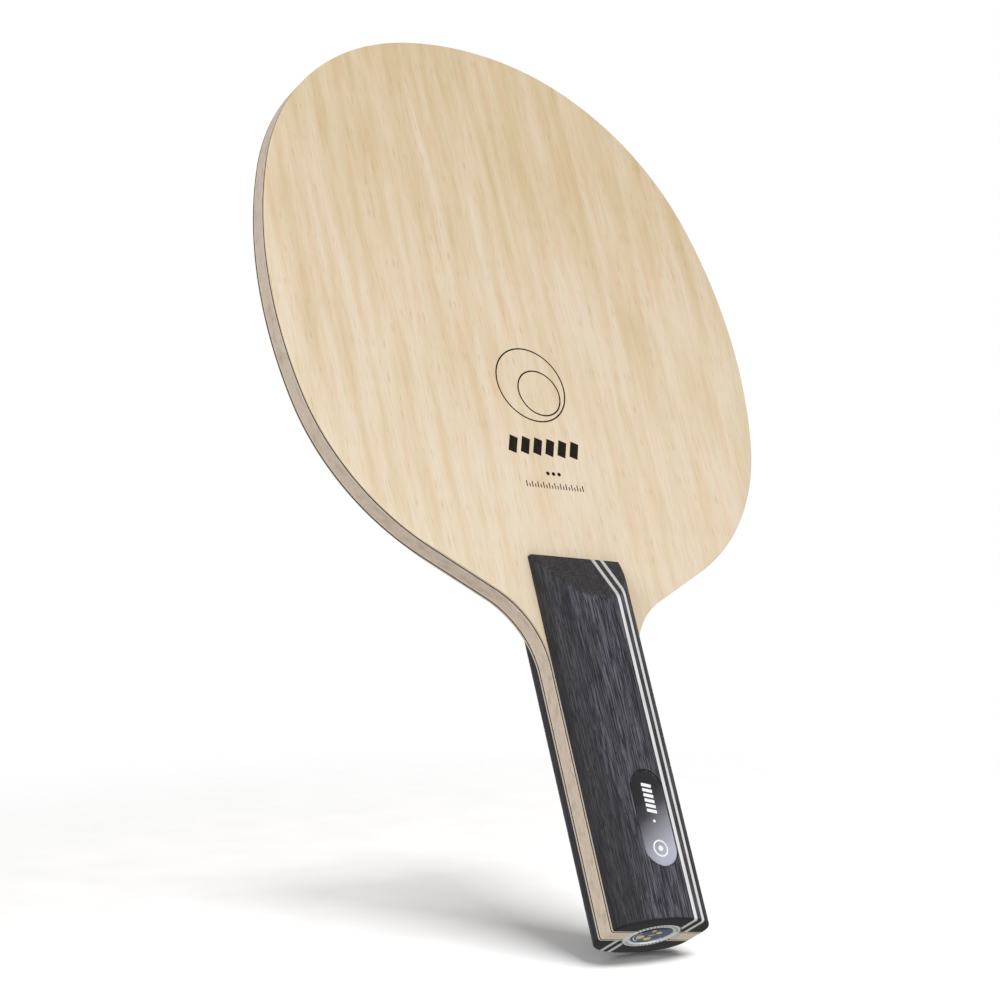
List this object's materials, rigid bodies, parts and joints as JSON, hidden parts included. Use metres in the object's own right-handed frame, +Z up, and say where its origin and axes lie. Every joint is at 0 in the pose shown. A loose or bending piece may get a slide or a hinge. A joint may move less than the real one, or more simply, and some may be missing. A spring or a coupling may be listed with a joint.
{
  "type": "table tennis blade",
  "caption": "Shakehand table tennis blade: laminated wood and carbon head with a straight two-scale inlaid handle, badge and end medallion, no rubber sheets.",
  "frame": {"origin": "centre of the flat end of the handle, where the blade stands", "axes": "+Z up the handle to the crown of the head, -Y out of the front face, +X to the right seen from the front"},
  "size_m": [0.151, 0.024, 0.257],
  "materials": {
    "face_veneer": "fine sanded pale veneer, matt",
    "carbon_ply": "woven carbon and aramid fibre ply set in resin, seen only at its sanded edge",
    "inner_veneer": "pale veneer, sanded edge",
    "core": "light core wood, sanded edge",
    "dark_wood": "open-grained wood dyed charcoal, satin",
    "light_wood": "bleached lamination, satin",
    "badge": "polished plate shaded from black to silver",
    "clear_resin": "clear glossy resin",
    "medallion_rim": "satin silver",
    "medallion_disc": "navy print with gold marks",
    "print_ink": "thin flat print on the wood, the badge and the medallion's rim"
  },
  "bodies": {
    "root": {"core_ply": "core", "front_inner_veneer": "inner_veneer", "back_inner_veneer": "inner_veneer", "front_carbon_ply": "carbon_ply", "back_carbon_ply": "carbon_ply", "front_face_veneer": "face_veneer", "back_face_veneer": "face_veneer", "front_scale_main_block": "dark_wood", "front_scale_inner_light_lamination": "light_wood", "front_scale_dark_spacer_lamination": "dark_wood", "front_scale_outer_light_lamination": "light_wood", "front_scale_dark_edge_lamination": "dark_wood", "back_scale_main_block": "dark_wood", "back_scale_inner_light_lamination": "light_wood", "back_scale_dark_spacer_lamination": "dark_wood", "back_scale_outer_light_lamination": "light_wood", "back_scale_dark_edge_lamination": "dark_wood", "badge_plate": "badge", "badge_lens": "clear_resin", "medallion_cup": "medallion_rim", "medallion_disc": "medallion_disc", "medallion_lens": "clear_resin"}
  },
  "joints": []
}
